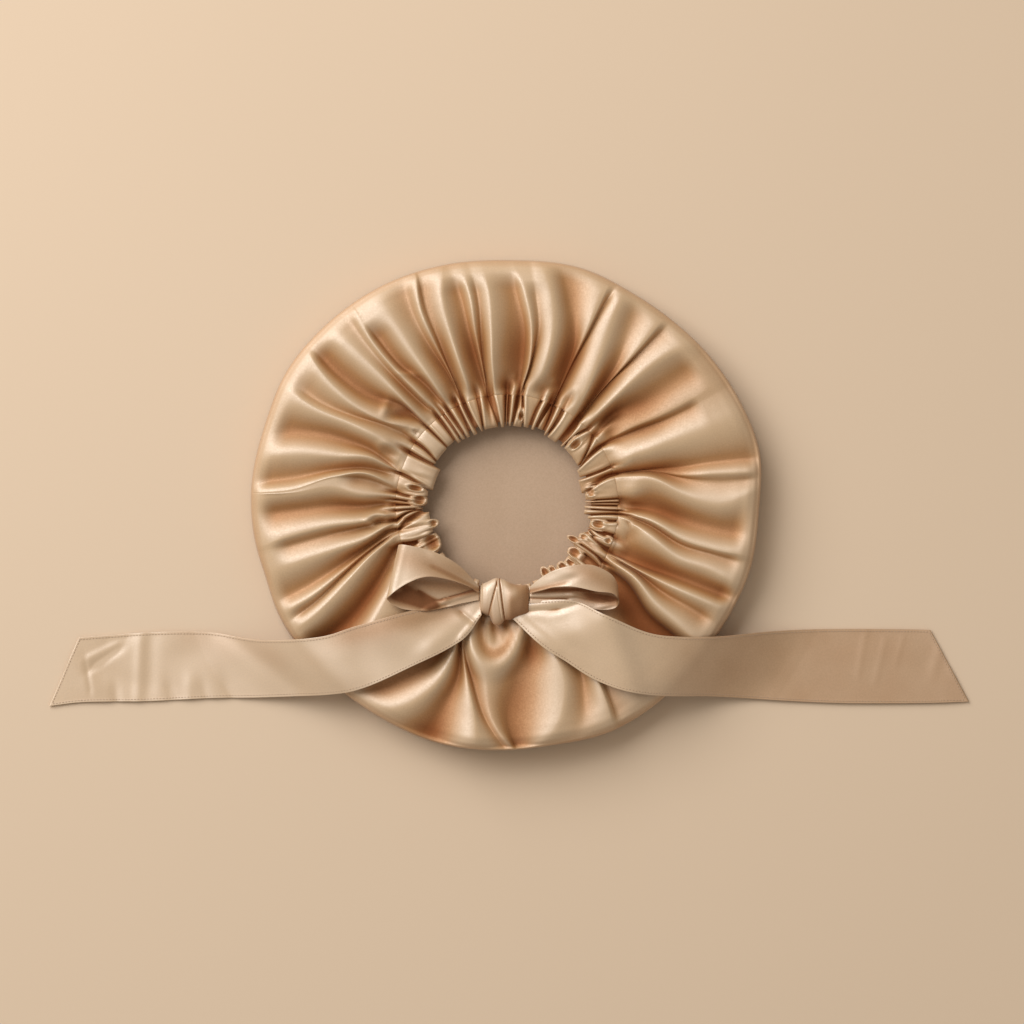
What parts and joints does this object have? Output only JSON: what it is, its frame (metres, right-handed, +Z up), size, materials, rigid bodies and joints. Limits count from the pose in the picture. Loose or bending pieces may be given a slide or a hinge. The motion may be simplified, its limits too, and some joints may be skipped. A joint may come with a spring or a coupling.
{
  "type": "satin sleep bonnet",
  "caption": "Gathered satin sleep bonnet lying on its back, puffed crown in radiating folds round an elasticated opening, wide ribbon tied in a bow on the band",
  "frame": {"origin": "on the table, under the middle of the whole object with its ribbon", "axes": "+X along the ribbon's tails, +Y from the bow across the opening, +Z up out of the opening"},
  "size_m": [0.6128, 0.3262, 0.0425],
  "materials": {
    "crown_satin": "champagne satin, glossy face out",
    "casing_satin": "the crown's satin, tightly gathered",
    "ribbon_satin": "satin ribbon with stitched hems"
  },
  "bodies": {
    "root": {"crown_base": "crown_satin", "crown_upper": "crown_satin", "band_casing": "casing_satin", "knot": "ribbon_satin", "loop_left": "ribbon_satin", "loop_right": "ribbon_satin", "tail_left": "ribbon_satin", "tail_right": "ribbon_satin"}
  },
  "joints": []
}
